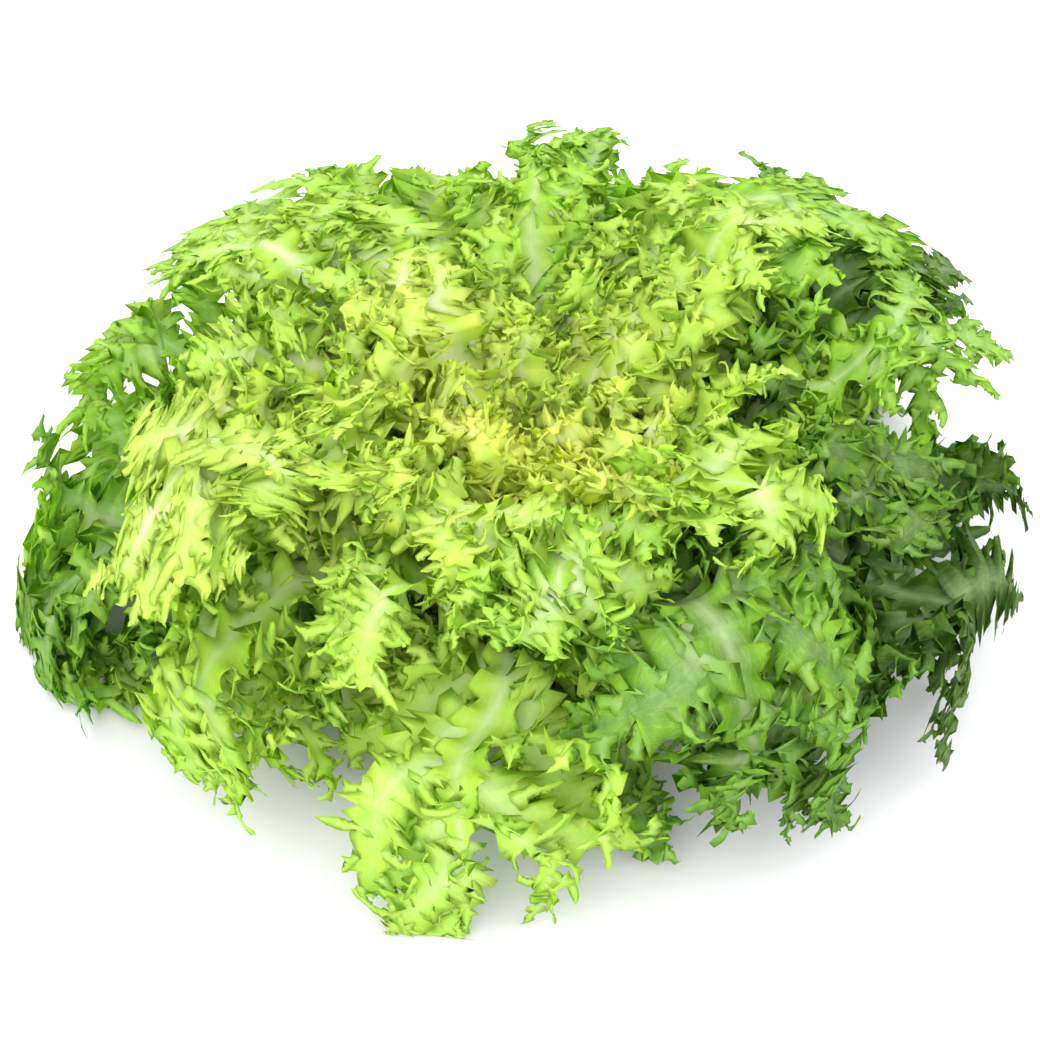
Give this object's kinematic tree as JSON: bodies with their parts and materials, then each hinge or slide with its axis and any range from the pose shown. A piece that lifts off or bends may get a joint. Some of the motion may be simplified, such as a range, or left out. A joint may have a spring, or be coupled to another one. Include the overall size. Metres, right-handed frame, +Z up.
{
  "type": "curly endive head",
  "caption": "Whole head of curly endive standing on its cut stem base, with frilled, toothed leaves from a pale yellow heart to a dark green rim.",
  "frame": {"origin": "middle of the flat cut face of the stem base, which the head stands on", "axes": "+Z up through the heart, -Y towards the front of the head, +X to its right"},
  "size_m": [0.3064, 0.3019, 0.106],
  "materials": {
    "cut_stem": "matte",
    "heart_leaf": "satin",
    "inner_leaf": "satin",
    "middle_leaf": "satin",
    "outer_leaf": "satin"
  },
  "bodies": {
    "root": {"stem_base": "cut_stem", "heart_leaf_01": "heart_leaf", "heart_leaf_02": "heart_leaf", "heart_leaf_03": "heart_leaf", "heart_leaf_04": "heart_leaf", "heart_leaf_05": "heart_leaf", "heart_leaf_06": "heart_leaf", "heart_leaf_07": "heart_leaf", "heart_leaf_08": "heart_leaf", "heart_leaf_09": "heart_leaf", "heart_leaf_10": "heart_leaf", "heart_leaf_11": "heart_leaf", "inner_leaf_01": "inner_leaf", "inner_leaf_02": "inner_leaf", "inner_leaf_03": "inner_leaf", "inner_leaf_04": "inner_leaf", "inner_leaf_05": "inner_leaf", "inner_leaf_06": "inner_leaf", "inner_leaf_07": "inner_leaf", "inner_leaf_08": "inner_leaf", "inner_leaf_09": "inner_leaf", "inner_leaf_10": "inner_leaf", "inner_leaf_11": "inner_leaf", "inner_leaf_12": "inner_leaf", "inner_leaf_13": "inner_leaf", "inner_leaf_14": "inner_leaf", "inner_leaf_15": "inner_leaf", "middle_leaf_01": "middle_leaf", "middle_leaf_02": "middle_leaf", "middle_leaf_03": "middle_leaf", "middle_leaf_04": "middle_leaf", "middle_leaf_05": "middle_leaf", "middle_leaf_06": "middle_leaf", "middle_leaf_07": "middle_leaf", "middle_leaf_08": "middle_leaf", "middle_leaf_09": "middle_leaf", "middle_leaf_10": "middle_leaf", "middle_leaf_11": "middle_leaf", "middle_leaf_12": "middle_leaf", "middle_leaf_13": "middle_leaf", "middle_leaf_14": "middle_leaf", "middle_leaf_15": "middle_leaf", "middle_leaf_16": "middle_leaf", "outer_leaf_01": "outer_leaf", "outer_leaf_02": "outer_leaf", "outer_leaf_03": "outer_leaf", "outer_leaf_04": "outer_leaf", "outer_leaf_05": "outer_leaf", "outer_leaf_06": "outer_leaf", "outer_leaf_07": "outer_leaf", "outer_leaf_08": "outer_leaf", "outer_leaf_09": "outer_leaf", "outer_leaf_10": "outer_leaf", "outer_leaf_11": "outer_leaf", "outer_leaf_12": "outer_leaf", "outer_leaf_13": "outer_leaf", "outer_leaf_14": "outer_leaf"}
  },
  "joints": []
}
